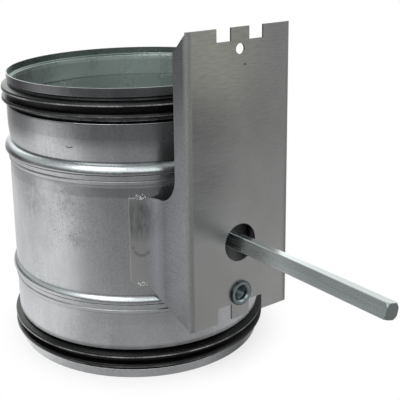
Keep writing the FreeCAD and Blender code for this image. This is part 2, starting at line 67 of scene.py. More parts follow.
# Painted shade darkens these grooves and creases beside the beads and gaskets: height, half width and soft
# edge in millimetres, and how dark it is.
GROOVES = (
    (130.95, 0.3, 0.5, 0.7), (124.3, 0.1, 0.7, 0.4), (120.75, 0.2, 0.6, 0.5), (118.1, 0.1, 0.5, 0.25),
    (52.15, 0.2, 0.6, 0.5), (46.9, 0.1, 0.6, 0.3), (43.25, 0.2, 0.7, 0.35), (40.7, 0.1, 0.6, 0.25),
    (166.2, 1.0, 0.3, 1.0), (154.6, 1.1, 0.3, 1.0), (153.0, 0.3, 0.4, 0.55), (18.6, 0.4, 2.4, 0.8),
)
# Below each bead the rolls slid on the sheet and left it duller: from and to, in millimetres of height.
ROLLED_BANDS = ((39.6, 46.6), (117.0, 124.0))
# The edges of the gaskets' lips, where a painted grey highlight runs: height in millimetres and how much.
LIP_TIPS = ((163.95, 1.0), (157.75, 0.35), (14.75, 1.0), (8.55, 0.25))

# The camera: where it stands round the part, and the picture that it takes.
PICTURE = 400
CAMERA_TURN = math.radians(-33.562)
CAMERA_RISE = math.radians(13.649)
CAMERA_ROLL = math.radians(-1.640)
CAMERA_DISTANCE = 514.6 * MM
AIM_ASIDE = 7.51 * MM
AIM_HEIGHT = 133.3 * MM
FOCAL_PIXELS = 798.0
CENTRE_X, CENTRE_Y = 145.0, 125.0
SENSOR = 36.0

# Marks that the photograph shows, as places on the part and radii in millimetres.
CRESCENT_DENT, CRESCENT_R = (-69.5, -40.5, 141.7), 3.0
NICK = (-76.9, -23.9, 145.0)
WELD_TOP = (-41.0, -69.3, 111.6)
WELD_LOW = (-41.3, -69.1, 60.2)
ELECTRODE_MARK, ELECTRODE_R = (-41.2, -69.1, 81.9), 4.6
WELD_TINT = (-40.0, -69.9, 56.5)
FOOT_SMEAR = (-42.3, -68.5, 99)
GRIP_MARKS = ((-45.5, -66.4, 82.0), (-39.5, -70.2, 95.4), (-33.5, -73.2, 91.9), (-27.4, -75.7, 90.6))
PLATE_PIT = (3.2, -105.3, 185.6)
# A painted highlight and painted shade on the plate.
PLATE_HIGHLIGHT = (-24, -105.3, 190)
PLATE_SHADE = ((-31, -105.3, 152), (-33, -105.3, 126))
MOTTLED = (-70.6, -36.6, 98.0)
# Soft smudges on the tube: place, radius, soft edge and how dark.
SMUDGES = (
    ((-70.0, -37.7, 104.9), 3, 9, 0.4), ((-67.9, -41.3, 85.0), 1.5, 7, 0.55),
    ((-78.9, -9.8, 105.4), 5, 14, 0.45), ((-72.2, -33.2, 113.2), 2, 9, 0.4),
    ((-77.0, -19.7, 79.7), 1, 9, 0.25),
)
# Parts of the bracket in millimetres: its folds seen from above, how far the flanges and the feet reach
# from front to back, the feet's outer edge, and the heights where the flanges' painted shade fades and the
# scuffs start.
# The folds and the flanges carry painted shade, and the feet's outer edge a painted highlight.
FOOT_BEND = (36.3, -75.4, 0)
PLATE_FOLD = (34.4, -104.6, 0)
FLANGE_FROM, FLANGE_TO, FEET_FROM = -102.5, -79.5, -77
FOOT_END_X = 46.65
FLANGE_SHADE_FADES_AT, SCUFFED_FROM = 110, 165
# How far out the spindle is brighter, and the radius of the insert's mouth, which is painted with shade.
SPINDLE_BRIGHT_TO, INSERT_MOUTH_R = -128, 4.25


def linear(code):
    """Turns an sRGB hex colour into the linear colour that a node holds."""
    parts = [int(code[i : i + 2], 16) / 255 for i in (1, 3, 5)]
    curve = [c / 12.92 if c <= 0.04045 else ((c + 0.055) / 1.055) ** 2.4 for c in parts]
    return (*curve, 1.0)


def put(tree, kind, inputs=None, **settings):
    """Adds one node: its settings by name, and each input as a constant or the socket that feeds it."""
    node = tree.nodes.new(kind)
    for name, value in settings.items():
        setattr(node, name, value)
    for name, value in (inputs or {}).items():
        socket = node.inputs[name]
        if isinstance(value, bpy.types.NodeSocket):
            tree.links.new(value, socket)
        else:
            socket.default_value = value
    return node


# Patterns that several finishes use.


def turn_about(tree, place):
    """Splits a place into X, Y and Z, with its angle round the duct's axis from the plate's side."""
    xyz = put(tree, "ShaderNodeSeparateXYZ", {0: place}).outputs
    behind = put(tree, "ShaderNodeMath", {0: xyz["Y"], 1: -1.0}, operation="MULTIPLY").outputs[0]
    turn = put(tree, "ShaderNodeMath", {0: xyz["X"], 1: behind}, operation="ARCTAN2").outputs[0]
    return xyz, turn


def wrapped(tree, place):
    """Unrolls a place round the duct, cut open at the seam: arc, distance from the axis, height."""
    turned = put(
        tree, "ShaderNodeVectorRotate", {"Vector": place, "Angle": math.pi - SEAM_TURN},
        rotation_type="Z_AXIS",
    )
    xyz, turn = turn_about(tree, turned.outputs[0])
    arc = put(tree, "ShaderNodeMath", {0: turn, 1: BODY_R, 2: ARC_START}, operation="MULTIPLY_ADD")
    flat = put(tree, "ShaderNodeCombineXYZ", {"X": xyz["X"], "Y": xyz["Y"]})
    radius = put(tree, "ShaderNodeVectorMath", {0: flat.outputs[0]}, operation="LENGTH")
    unrolled = put(
        tree, "ShaderNodeCombineXYZ", {"X": arc.outputs[0], "Y": radius.outputs["Value"], "Z": xyz["Z"]},
    )
    return unrolled.outputs[0]


def grain(tree, place, size, low, high, detail=4.0, rough=0.6, window=(0.3, 0.7)):
    """Noise with grains of the given size in millimetres along X, Y and Z, from low to high."""
    scaled = put(
        tree, "ShaderNodeVectorMath",
        {0: place, 1: tuple(1 / (s * MM) for s in size)}, operation="MULTIPLY",
    )
    noise = put(
        tree, "ShaderNodeTexNoise",
        {"Vector": scaled.outputs[0], "Scale": 1.0, "Detail": detail, "Roughness": rough},
    )
    spread = put(
        tree, "ShaderNodeMapRange",
        {"Value": noise.outputs["Fac"], "From Min": window[0], "From Max": window[1],
         "To Min": low, "To Max": high},
    )
    return spread.outputs[0]


def mark(tree, place, centre, radius, soft, high=1.0, inner=0.0):
    """One round mark about a place, all in millimetres: high from an inner radius out to its radius."""
    away = put(
        tree, "ShaderNodeVectorMath", {0: place, 1: tuple(c * MM for c in centre)}, operation="DISTANCE",
    )
    return between(tree, away.outputs["Value"], inner * MM, radius * MM, soft * MM, full=high)


def between(tree, value, low, high, soft, full=1.0):
    """Full where a value lies from low to high, and 0 past a soft edge outside them."""
    middle, half = (low + high) / 2, (high - low) / 2
    off = put(tree, "ShaderNodeMath", {0: value, 1: middle}, operation="SUBTRACT")
    away = put(tree, "ShaderNodeMath", {0: off.outputs[0]}, operation="ABSOLUTE")
    inside = put(
        tree, "ShaderNodeMapRange",
        {"Value": away.outputs[0], "From Min": half + soft, "From Max": half, "To Max": full},
        interpolation_type="SMOOTHSTEP",
    )
    return inside.outputs[0]


def cut_edges(tree, aside, back):
    """Sheared edges of the plate and of its holes and notches, where bare steel shows in the zinc."""
    normal = put(tree, "ShaderNodeNewGeometry").outputs["True Normal"]
    forward = put(tree, "ShaderNodeSeparateXYZ", {0: normal}).outputs["Y"]
    forward = put(tree, "ShaderNodeMath", {0: forward}, operation="ABSOLUTE").outputs[0]
    return combined(tree, "MULTIPLY", [
        put(tree, "ShaderNodeMath", {0: value, 1: limit}, operation="LESS_THAN").outputs[0]
        for value, limit in (
            (forward, 0.4), (aside, PLATE_HALF - 2 * MM), (back, PLATE_Y + 2 * MM),
        )
    ])


def facing_axis(tree, place):
    """The wall's inner face: 1 where the surface looks towards the duct's axis, 0 elsewhere."""
    outwards = put(tree, "ShaderNodeVectorMath", {0: place, 1: (1, 1, 0)}, operation="MULTIPLY")
    outwards = put(tree, "ShaderNodeVectorMath", {0: outwards.outputs[0]}, operation="NORMALIZE")
    normal = put(tree, "ShaderNodeNewGeometry").outputs["Normal"]
    facing = put(
        tree, "ShaderNodeVectorMath", {0: outwards.outputs[0], 1: normal}, operation="DOT_PRODUCT",
    ).outputs["Value"]
    inner = put(tree, "ShaderNodeMapRange", {"Value": facing, "From Min": -0.05, "From Max": -0.15})
    return inner.outputs[0]


def combined(tree, operation, sockets):
    """Joins several values into one: their sum, their product or the highest of them."""
    joined = sockets[0]
    for socket in sockets[1:]:
        joined = put(tree, "ShaderNodeMath", {0: joined, 1: socket}, operation=operation).outputs[0]
    return joined


def painted(tree, base, layers):
    """Lays hex colours over a base colour, each through its own mask."""
    colour = linear(base)
    for code, mask in layers:
        laid = put(tree, "ShaderNodeMix", {0: mask, 6: colour, 7: linear(code)}, data_type="RGBA")
        colour = laid.outputs[2]
    return colour


def begin(name):
    """A new material: its node tree and the coordinates of the part's own frame."""
    material = bpy.data.materials.new(name)
    material.use_nodes = True
    tree = material.node_tree
    tree.nodes.clear()
    return material, tree, put(tree, "ShaderNodeTexCoord").outputs["Object"]


def close(tree, colour, roughness, height=None, depth=0.0, **fixed):
    """Ends a material: colour, roughness, relief of a depth in millimetres, and other inputs."""
    others = {name.replace("_", " "): value for name, value in fixed.items()}
    shader = put(tree, "ShaderNodeBsdfPrincipled", {"Base Color": colour, "Roughness": roughness, **others})
    if height is not None:
        relief = put(tree, "ShaderNodeBump", {"Height": height, "Strength": 1.0, "Distance": depth * MM})
        tree.links.new(relief.outputs[0], shader.inputs["Normal"])
    out = put(tree, "ShaderNodeOutputMaterial")
    tree.links.new(shader.outputs[0], out.inputs["Surface"])


def galvanised_casing():
    """Hot-dip galvanised sheet, rolled round: fine upright streaks from the rolls, a faint cloudy bloom."""
    material, tree, place = begin("galvanised_tube_sheet")
    round_it = wrapped(tree, place)
    axes = put(tree, "ShaderNodeSeparateXYZ", {0: round_it}).outputs
    along, up = axes["X"], axes["Z"]
    inner = facing_axis(tree, place)
    outer = put(tree, "ShaderNodeMath", {0: 1.0, 1: inner}, operation="SUBTRACT").outputs[0]
    cloud = grain(tree, round_it, (16, 16, 34), 0.0, 1.0, detail=3.0)
    patch = grain(tree, round_it, (26, 26, 40), 0.15, 1.0)
    streak = combined(
        tree, "MULTIPLY", [grain(tree, round_it, (0.9, 3, 30), 0.0, 0.4, detail=2.0), patch, outer],
    )
    speckle = combined(
        tree, "MULTIPLY",
        [grain(tree, round_it, (0.9, 0.9, 1.0), 0.0, 0.7, detail=2.0, window=(0.42, 0.7)), patch, outer],
    )
    smudges = [mark(tree, place, at, radius, soft, high=dark) for at, radius, soft, dark in SMUDGES]
    mottle = combined(
        tree, "MULTIPLY",
        [combined(tree, "MAXIMUM", smudges),
         grain(tree, round_it, (3.2, 9, 4.5), 0.15, 1.0, window=(0.38, 0.66))],
    )
    pits = combined(
        tree, "MULTIPLY",
        [mark(tree, place, MOTTLED, 10, 16),
         grain(tree, round_it, (1.1, 9, 1.3), 0.0, 0.6, detail=2.0, window=(0.56, 0.7))],
    )
    # the bands of the wall: painted shade on the upper rim outside and inside, a painted highlight on the
    # seat's slope inside, the throat inside, and painted shade on the lower rim's shaded side
    rim_shade, mouth_shade, slope_highlight, throat, low_rim_shade = [
        combined(tree, "MULTIPLY", [between(tree, up, low * MM, high * MM, soft * MM, full=full), side])
        for low, high, soft, full, side in (
            (RIM_FROM, LENGTH / MM, 0.3, 0.6, outer), (MOUTH_FROM, LENGTH / MM, 0.8, 0.85, inner),
            (SLOPE_FROM, SLOPE_TO, 0.4, 0.9, inner), (0, THROAT_TO, 8, 0.75, inner),
            (0, LOW_RIM_TO, 0.4, 0.85, between(tree, along, *DARK_SIDE)),
        )
    ]
    grooves = [
        between(tree, up, (at - half) * MM, (at + half) * MM, soft * MM, full=dark)
        for at, half, soft, dark in GROOVES
    ]
    # painted shade in the grooves, on the outer face only, broken up by grain
    crease_shade = combined(
        tree, "MULTIPLY",
        [combined(tree, "MAXIMUM", grooves), outer, grain(tree, round_it, (9, 9, 9), 0.5, 0.8)],
    )
    # the lower bow of a small ring, pressed into the sheet
    crescent = combined(
        tree, "MULTIPLY",
        [mark(tree, place, CRESCENT_DENT, CRESCENT_R + 0.15, 0.3, high=0.85, inner=CRESCENT_R - 0.1),
         between(tree, up, -BEYOND, (CRESCENT_DENT[2] - 2.1) * MM, 0.5 * MM)],
    )
    nick = combined(tree, "MAXIMUM", [mark(tree, place, NICK, 0.4, 0.6, high=0.8), crescent])
    # the seam's heat took the bloom off the sheet on both sides of the cut
    far = math.pi * BODY_R - 2 * SEAM_HALF
    clear_of_seam = between(tree, along, ARC_START - far, ARC_START + far, 2.2 * SEAM_HALF, full=0.6)
    seam = put(tree, "ShaderNodeMath", {0: 0.6, 1: clear_of_seam}, operation="SUBTRACT").outputs[0]
    colour = painted(
        tree, "#adaeb0",
        (("#babbbd", cloud), ("#9c9d9f", streak), ("#8f9092", speckle), ("#6f7073", mottle),
         ("#5c5d5f", pits), ("#cfd6d3", inner), ("#b4bbb9", throat), ("#757e7b", mouth_shade),
         ("#eef3f1", slope_highlight), ("#7d7e81", rim_shade), ("#3a3b3c", low_rim_shade), ("#3c3c3d", crease_shade),
         ("#4c4d4e", nick), ("#85807c", seam)),
    )
    roughness = combined(
        tree, "ADD",
        [grain(tree, round_it, (12, 12, 25), 0.25, 0.3, detail=2.0)]
        + [between(tree, up, low * MM, high * MM, 0.6 * MM, full=0.12) for low, high in ROLLED_BANDS],
    )
    height = combined(
        tree, "ADD",
        [grain(tree, round_it, (1.4, 3, 30), 0.0, 0.03, detail=1.0),
         grain(tree, round_it, (7, 7, 10), 0.0, 0.3, detail=1.0),
         combined(tree, "MULTIPLY", [crescent, -2.0])],
    )
    close(tree, colour, roughness, height, 0.035, Metallic=1.0)
    return material


def galvanised_bracket():
    """Hot-dip galvanised sheet, cut and folded flat: scuffs across the plate, hand smears on the feet, and
    painted shade and highlights on its folds, flanges, feet and plate.
    """
    material, tree, place = begin("galvanised_bracket_sheet")
    axes = put(tree, "ShaderNodeSeparateXYZ", {0: place}).outputs
    back, up = axes["Y"], axes["Z"]
    aside = put(tree, "ShaderNodeMath", {0: axes["X"]}, operation="ABSOLUTE").outputs[0]
    in_plan = put(tree, "ShaderNodeCombineXYZ", {"X": aside, "Y": back}).outputs[0]
    cloud = grain(tree, place, (26, 26, 40), 0.0, 1.0, detail=3.0)
    scuff = combined(
        tree, "MULTIPLY",
        [grain(tree, place, (7, 7, 0.6), 0.0, 0.5, window=(0.42, 0.7)),
         between(tree, up, SCUFFED_FROM * MM, BEYOND, 60 * MM)],
    )
    drag = grain(tree, place, (16, 16, 0.8), 0.0, 0.2, window=(0.5, 0.75))
    speckle = grain(tree, place, (0.9, 0.9, 0.8), 0.0, 0.4, detail=2.0, window=(0.4, 0.7))
    # painted shade on the flanges, the feet's bend and the plate's fold, the feet painted lighter, a
    # painted highlight on the feet's ends, and the bare cut edges
    flange_shade = combined(
        tree, "MULTIPLY",
        [between(tree, aside, PLATE_HALF - 0.4 * MM, BEYOND, 0.8 * MM),
         between(tree, back, FLANGE_FROM * MM, FLANGE_TO * MM, 2 * MM)],
    )
    low_flange_shade = combined(
        tree, "MULTIPLY", [flange_shade, between(tree, up, -BEYOND, FLANGE_SHADE_FADES_AT * MM, 40 * MM)],
    )
    feet_painted_light = between(tree, back, FEET_FROM * MM, BEYOND, 2 * MM, full=0.85)
    foot_end_highlight = between(tree, aside, FOOT_END_X * MM, BEYOND, 0.12 * MM, full=0.6)
    bend_shade = mark(tree, in_plan, FOOT_BEND, 3.2, 4.4)
    fold_shade = mark(tree, in_plan, PLATE_FOLD, 1.6, 1.6)
    cut = cut_edges(tree, aside, back)
    # a painted highlight and painted shade on the plate; what happened to it: the welding electrode's
    # print, and hands
    bright = mark(tree, place, PLATE_HIGHLIGHT, 12, 38)
    plate_shade = combined(
        tree, "MULTIPLY",
        [combined(tree, "MAXIMUM", [mark(tree, place, at, 4, 34, high=0.9) for at in PLATE_SHADE]),
         grain(tree, place, (16, 16, 9), 0.7, 1.0)],
    )
    electrode = combined(
        tree, "MULTIPLY",
        [mark(tree, place, ELECTRODE_MARK, ELECTRODE_R + 0.35, 1.0, inner=ELECTRODE_R - 0.35),
         between(tree, up, -BEYOND, (ELECTRODE_MARK[2] - 2.4) * MM, 1.4 * MM),
         grain(tree, place, (1.4, 1.4, 1.4), 0.1, 0.8)],
    )
    tint = mark(tree, place, WELD_TINT, 0.5, 4.5, high=0.3)
    grips = combined(tree, "MAXIMUM", [mark(tree, place, at, 0.2, 1.5, high=0.4) for at in GRIP_MARKS])
    smear = combined(
        tree, "MULTIPLY",
        [mark(tree, place, FOOT_SMEAR, 4, 13, high=0.95), grain(tree, place, (2.2, 2.2, 9), 0.25, 1.0)],
    )
    pit = mark(tree, place, PLATE_PIT, 0.35, 0.5, high=0.9)
    colour = painted(
        tree, "#a2a2a1",
        (("#acacab", cloud), ("#c6c7bc", bright), ("#7c7c7d", plate_shade), ("#b0b0b0", feet_painted_light),
         ("#818286", flange_shade), ("#747579", low_flange_shade), ("#858583", scuff), ("#bdbdbb", drag),
         ("#95959a", bend_shade), ("#8d8d8c", fold_shade), ("#b2b2b1", speckle), ("#6b6b6f", smear),
         ("#5a5a58", grips), ("#717170", electrode), ("#9b7a52", tint), ("#626264", cut),
         ("#cfcfce", foot_end_highlight), ("#3a3a39", pit)),
    )
    roughness = combined(
        tree, "ADD",
        [grain(tree, place, (14, 14, 18), 0.31, 0.38), grain(tree, place, (8, 8, 0.5), 0.0, 0.05),
         combined(tree, "MULTIPLY", [bend_shade, 0.2]), combined(tree, "MULTIPLY", [fold_shade, 0.25])],
    )
    height = combined(
        tree, "ADD",
        [grain(tree, place, (9, 9, 0.5), 0.0, 0.2), grain(tree, place, (5, 5, 5), 0.0, 0.5, detail=2.0)],
    )
    close(tree, colour, roughness, height, 0.03, Metallic=1.0)
    return material


def galvanised_blade():
    """Hot-dip galvanised sheet, pressed flat: a soft cloudy bloom and short scuffs from handling."""
    material, tree, place = begin("galvanised_blade_sheet")
    cloud = grain(tree, place, (22, 22, 22), 0.0, 1.0, detail=3.0)
    scuff = grain(tree, place, (10, 0.7, 3), 0.0, 0.7, window=(0.45, 0.72))
    colour = painted(tree, "#a2a3a4", (("#b5b6b8", cloud), ("#8e8f90", scuff)))
    roughness = grain(tree, place, (8, 1.0, 8), 0.32, 0.42)
    close(tree, colour, roughness, grain(tree, place, (9, 0.6, 9), 0.0, 1.0), 0.02, Metallic=1.0)
    return material


def drawn_spindle():
    """Bright-drawn square bar with a clear zinc plate: cool grey with fine lines along its length."""
    material, tree, place = begin("zinc_plated_drawn_bar")
    # the die's lines lie about 0.1 mm apart, too fine to show, so these are five times as wide
    line = grain(tree, place, (0.5, 60, 0.5), 0.0, 1.0, detail=2.0)
    cloud = grain(tree, place, (6, 40, 6), 0.2, 1.0, detail=2.0)
    lines = combined(tree, "MULTIPLY", [line, cloud])
    outwards = put(tree, "ShaderNodeSeparateXYZ", {0: place}).outputs["Y"]
    # brighter from the duct's axis to outside the plate, and dull on the sawn end
    bright = between(tree, outwards, SPINDLE_BRIGHT_TO * MM, 0, 40 * MM, full=0.75)
    sawn = between(tree, outwards, -BEYOND, SPINDLE_END_Y + 0.25 * MM, 0.1 * MM)
    colour = painted(
        tree, "#a6acac", (("#b5bbbb", cloud), ("#949a9a", lines), ("#dde2e2", bright), ("#7e8483", sawn)),
    )
    roughness = combined(
        tree, "ADD",
        [grain(tree, place, (0.8, 60, 0.8), 0.23, 0.28, detail=1.0),
         grain(tree, place, (4, 30, 4), 0.0, 0.04, detail=1.0)],
    )
    height = grain(tree, place, (0.7, 60, 0.7), 0.0, 1.0, detail=1.0)
    close(tree, colour, roughness, height, 0.002, Metallic=1.0)
    return material


def speckled_metal(name, base, layers, grain_size, rough, height_size, depth):
    """A small metal part: a base under layers of colour, with even grain in its roughness and relief.

    Real plating and weld grain is too fine to show, so it is drawn about half a millimetre wide.
    """
    material, tree, place = begin(name)
    masks = [
        (code, grain(tree, place, size, 0.0, full, window=window)) for code, size, full, window in layers
    ]
    close(
        tree, painted(tree, base, masks), grain(tree, place, (grain_size,) * 3, *rough),
        grain(tree, place, (height_size,) * 3, 0.0, 1.0), depth, Metallic=1.0,
    )
    return material


def plated_fastener():
    """Steel fasteners with blue-passivated zinc: a clean grey with a cold tinge and small rub marks."""
    layers = (
        ("#969fa3", (1.5, 1.5, 1.5), 1.0, (0.3, 0.7)), ("#5c666b", (0.5, 0.5, 0.5), 0.6, (0.55, 0.75)),
    )
    return speckled_metal("blue_zinc_plate", "#7c858a", layers, 0.9, (0.22, 0.36), 0.7, 0.02)


def cut_thread():
    """The insert's thread: painted darker than the plate round it as shade inside the bore, with oil left
    in the roots.
    """
    layers = (("#33373a", (0.8, 0.8, 0.8), 0.8, (0.45, 0.7)),)
    return speckled_metal("steel_thread_oil_and_shade", "#565c60", layers, 0.6, (0.25, 0.4), 0.4, 0.02)


def weld_metal():
    """Spatter of a resistance weld: bright droplets of zinc and steel with a burnt edge."""
    layers = (("#4c4945", (1.0, 1.0, 1.0), 0.8, (0.5, 0.7)),)
    return speckled_metal("weld_metal", "#c9cacb", layers, 0.6, (0.22, 0.45), 0.4, 0.05)


def seam_metal():
    """The tube's welded seam: grey steel with straw and blue heat colours along its ripples."""
    layers = (("#86786a", (3, 3, 1.2), 0.7, (0.4, 0.65)), ("#667080", (2, 2, 6), 0.5, (0.5, 0.7)))
    return speckled_metal("welded_seam_steel", "#8f9092", layers, 0.8, (0.3, 0.5), 0.5, 0.02)


def pressed_insert():
    """The rivet nut: the same zinc, with painted shade round the flange's outer edge and at its mouth."""
    material, tree, place = begin("pressed_insert_zinc")
    low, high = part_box("bracket_insert")
    face_on = put(tree, "ShaderNodeVectorMath", {0: place, 1: (1, 0, 1)}, operation="MULTIPLY").outputs[0]
    centre = ((low.x + high.x) / 2 / MM, 0, (low.z + high.z) / 2 / MM)
    edge = (high.x - low.x) / 2 / MM
    # painted shade round the flange's outer edge and in the mouth of the bore
    rim_shade = mark(tree, face_on, centre, edge + 1, 0.35, high=0.9, inner=edge - 0.35)
    mouth_shade = mark(tree, face_on, centre, INSERT_MOUTH_R, 0.3, high=0.8)
    cloud = grain(tree, place, (1.5, 1.5, 1.5), 0.0, 1.0)
    colour = painted(tree, "#71797d", (("#8b9498", cloud), ("#2e3132", rim_shade), ("#3b4042", mouth_shade)))
    roughness = grain(tree, place, (0.9, 0.9, 0.9), 0.24, 0.36)
    close(tree, colour, roughness, grain(tree, place, (0.7, 0.7, 0.7), 0.0, 1.0), 0.02, Metallic=1.0)
    return material


def epdm_rubber():
    """Extruded EPDM rubber: deep black with a faint waxy bloom, dust, and a painted grey highlight on the
    lip edges.
    """
    material, tree, place = begin("epdm_rubber")
    round_it = wrapped(tree, place)
    axes = put(tree, "ShaderNodeSeparateXYZ", {0: round_it}).outputs
    along, outwards, up = axes["X"], axes["Y"], axes["Z"]
    bloom = grain(tree, round_it, (9, 2, 1.2), 0.0, 0.5, window=(0.5, 0.75))
    dust = grain(tree, round_it, (0.6, 0.6, 0.5), 0.0, 0.5, detail=2.0, window=(0.55, 0.75))
    tips = [between(tree, up, (z - 0.3) * MM, (z + 0.15) * MM, 0.25 * MM, full) for z, full in LIP_TIPS]
    # a painted grey highlight along the lips' outer edges, kept off the shaded side
    tip_highlight = combined(
        tree, "MULTIPLY",
        [combined(tree, "MAXIMUM", tips),
         between(tree, outwards, BODY_R + 2.1 * MM, BEYOND, 0.3 * MM),
         between(tree, along, -BEYOND, DARK_SIDE[0], DARK_SIDE[2]),
         grain(tree, round_it, (18, 9, 40), 0.25, 1.0, detail=2.0, window=(0.35, 0.62)),
         grain(tree, round_it, (1.3, 9, 9), 0.45, 1.0, window=(0.35, 0.6))],
    )
    colour = painted(tree, "#060606", (("#0e0d0c", bloom), ("#171615", dust), ("#9c9c99", tip_highlight)))
    roughness = combined(
        tree, "ADD",
        [grain(tree, round_it, (5, 1, 1), 0.2, 0.32), between(tree, along, *DARK_SIDE, full=0.5)],
    )
    height = combined(
        tree, "ADD",
        [grain(tree, round_it, (1.1, 0.8, 0.25), 0.0, 1.0), grain(tree, round_it, (14, 3, 3), 0.0, 2.0)],
    )
    close(tree, colour, roughness, height, 0.03, IOR=1.37, Specular_IOR_Level=0.42)
    return material


def bearing_plastic():
    """Moulded acetal: a dense dark grey with a satin surface from the tool."""
    material, tree, place = begin("moulded_acetal")
    # the tool's texture is finer than 0.1 mm, and is drawn coarser so that it shows
    colour = painted(tree, "#2c2d2e", (("#35373a", grain(tree, place, (3, 3, 3), 0.0, 1.0)),))
    height = grain(tree, place, (0.25, 0.25, 0.25), 0.0, 1.0)
    close(tree, colour, grain(tree, place, (0.5, 0.5, 0.5), 0.38, 0.5), height, 0.01, IOR=1.48)
    return material


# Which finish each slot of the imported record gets.
FINISHES = {
    "galvanised_casing": galvanised_casing(),
    "galvanised_bracket": galvanised_bracket(),
    "plated_spindle": drawn_spindle(),
    "plated_fastener": plated_fastener(),
    "black_epdm": epdm_rubber(),
    "bearing_plastic": bearing_plastic(),
}
NODE_FINISHES = dict.fromkeys(("blade_upper_disc", "blade_lower_disc"), galvanised_blade())
NODE_FINISHES["bracket_insert"] = pressed_insert()


def dress_nodes():
    """Gives each CAD node the finish that its material slot names."""
    for name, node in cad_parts.items():
        slots = node.data.materials
        for number, old in enumerate(slots):
            slots[number] = NODE_FINISHES.get(name) or FINISHES[old.name]


dress_nodes()


# Small pieces that no finish can show: the spot welds' spatter, the insert's thread, the tube's seam.


def plain_object(name, verts, faces, material, body):
    """Closed shape from points and faces, with its faces turned outwards, on one body."""
    mesh = bpy.data.meshes.new(name)
    mesh.from_pydata(verts, [], faces)
    work = bmesh.new()
    work.from_mesh(mesh)
    bmesh.ops.recalc_face_normals(work, faces=work.faces)
    work.to_mesh(mesh)
    work.free()
    mesh.materials.append(material)
    piece = bpy.data.objects.new(name, mesh)
    bpy.context.collection.objects.link(piece)
    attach(piece, body)


def droplet_group():
    """Geometry Nodes: droplets of several sizes thrown over a patch, each turned its own way."""
    group = bpy.data.node_groups.new("weld_droplets", "GeometryNodeTree")
    for name, kind in (
        ("Patch", "NodeSocketGeometry"), ("Droplets per square metre", "NodeSocketFloat"),
        ("Smallest", "NodeSocketVector"), ("Largest", "NodeSocketVector"), ("Seed", "NodeSocketInt"),
        ("Metal", "NodeSocketMaterial"),
    ):
        group.interface.new_socket(name, in_out="INPUT", socket_type=kind)
    group.interface.new_socket("Droplets", in_out="OUTPUT", socket_type="NodeSocketGeometry")
    given = put(group, "NodeGroupInput").outputs
    thrown = put(
        group, "GeometryNodeDistributePointsOnFaces",
        {"Mesh": given["Patch"], "Density": given["Droplets per square metre"], "Seed": given["Seed"]},
    )
    size = put(
        group, "FunctionNodeRandomValue",
        {0: given["Smallest"], 1: given["Largest"], 8: given["Seed"]}, data_type="FLOAT_VECTOR",
    )
    turn = put(
        group, "FunctionNodeRandomValue",
        {0: (0.0, 0.0, 0.0), 1: (math.tau, math.tau, math.tau), 8: given["Seed"]}, data_type="FLOAT_VECTOR",
    )
    ball = put(group, "GeometryNodeMeshIcoSphere", {"Radius": 1.0, "Subdivisions": 2})
    placed = put(
        group, "GeometryNodeInstanceOnPoints",
        {"Points": thrown.outputs["Points"], "Instance": ball.outputs["Mesh"],
         "Rotation": turn.outputs[0], "Scale": size.outputs[0]},
    )
    real = put(group, "GeometryNodeRealizeInstances", {"Geometry": placed.outputs[0]})
    smooth = put(group, "GeometryNodeSetShadeSmooth", {"Geometry": real.outputs[0]})
    metal = put(
        group, "GeometryNodeSetMaterial", {"Geometry": smooth.outputs[0], "Material": given["Metal"]},
    )
    put(group, "NodeGroupOutput", {"Droplets": metal.outputs[0]})
    return group


def grown(name, verts, faces, group, values):
    """Runs a node group over a patch and keeps what it makes as a plain mesh."""
    mesh = bpy.data.meshes.new(name + "_patch")
    mesh.from_pydata(verts, [], faces)
    piece = bpy.data.objects.new(name, mesh)
    bpy.context.collection.objects.link(piece)
    modifier = piece.modifiers.new("grow", "NODES")
    modifier.node_group = group
    for item in group.interface.items_tree:
        if item.name in values:
            modifier[item.identifier] = values[item.name]
    seen = piece.evaluated_get(bpy.context.evaluated_depsgraph_get())
    made = bpy.data.meshes.new_from_object(seen)
    piece.modifiers.remove(modifier)
    piece.data = made
    bpy.data.meshes.remove(mesh)
    return piece


# The foot's face and top edge, and the droplets that its spot welds threw.
FOOT_FACE_R = BODY_R + 1.0 * MM
FOOT_TOP = 111.0 * MM
SPATTER_SEED = 7
DROPLETS_PER_SQUARE_METRE = 2.4e6
SMALLEST_DROPLET = (0.12 * MM, 0.12 * MM, 0.12 * MM)
LARGEST_DROPLET = (0.62 * MM, 0.55 * MM, 0.42 * MM)
# Where each spot weld blew: place, half width along the foot, lowest and highest droplet in millimetres.
BLOWN = ((WELD_TOP, 3.4, 110.2, 112.8), (WELD_LOW, 2.9, 58.3, 61.3))


def make_spatter(metal):
    """The blown edges of the spot welds, at the top and the bottom of both feet."""
    verts, faces = [], []
    steps = 8
    for (x, y, _), half, low, high in BLOWN:
        for side in (1, -1):
            middle = math.atan2(side * x, -y)
            first = len(verts)
            for i in range(steps + 1):
                along = 2 * i / steps - 1
                turn = middle + along * half * MM / BODY_R
                # the patch narrows towards its ends, as a puddle does
                squeeze = math.sqrt(max(0.0, 1 - along * along)) * 0.85 + 0.15
                for height in (low, high):
                    z = (low + high) / 2 + (height - (low + high) / 2) * squeeze
                    radius = FOOT_FACE_R if z * MM < FOOT_TOP else BODY_R + 0.35 * MM
                    verts.append((radius * math.sin(turn), -radius * math.cos(turn), z * MM))
            for i in range(steps):
                a = first + 2 * i
                faces.append((a, a + 2, a + 3, a + 1))
    piece = grown(
        "weld_spatter", verts, faces, droplet_group(),
        {"Droplets per square metre": DROPLETS_PER_SQUARE_METRE, "Smallest": SMALLEST_DROPLET,
         "Largest": LARGEST_DROPLET, "Seed": SPATTER_SEED, "Metal": metal},
    )
    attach(piece, "housing")


